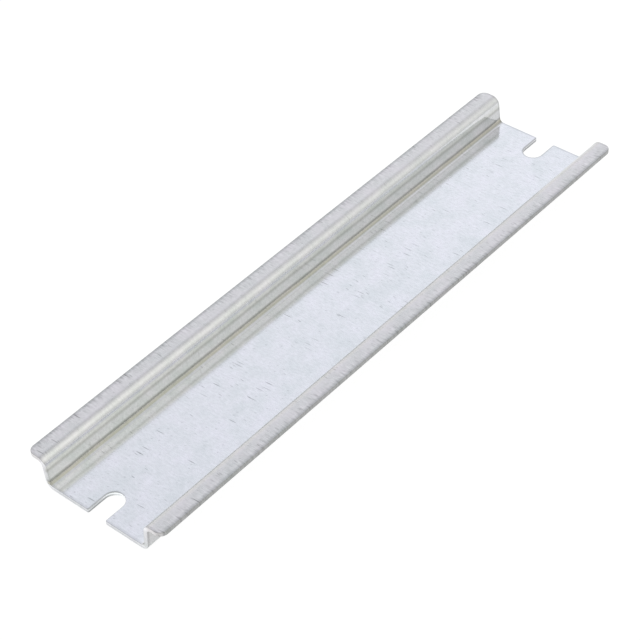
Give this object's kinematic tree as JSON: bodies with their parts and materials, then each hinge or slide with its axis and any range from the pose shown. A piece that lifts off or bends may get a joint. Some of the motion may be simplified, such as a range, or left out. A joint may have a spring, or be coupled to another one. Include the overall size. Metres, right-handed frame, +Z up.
{
  "type": "din rail",
  "caption": "Short top-hat mounting rail of bent zinc-plated steel strip, with outward brims for clip-on devices and an open screw slot in each end.",
  "frame": {"origin": "middle of the floor's underside, on the surface that the rail lies on", "axes": "+Y along the rail, +X across it, +Z up out of the channel"},
  "size_m": [0.035, 0.142, 0.0073],
  "materials": {
    "zinc_plated_steel": "passivated zinc plating on rolled strip, satin, with fine rolling scratches"
  },
  "bodies": {
    "root": {"rail": "zinc_plated_steel"}
  },
  "joints": []
}
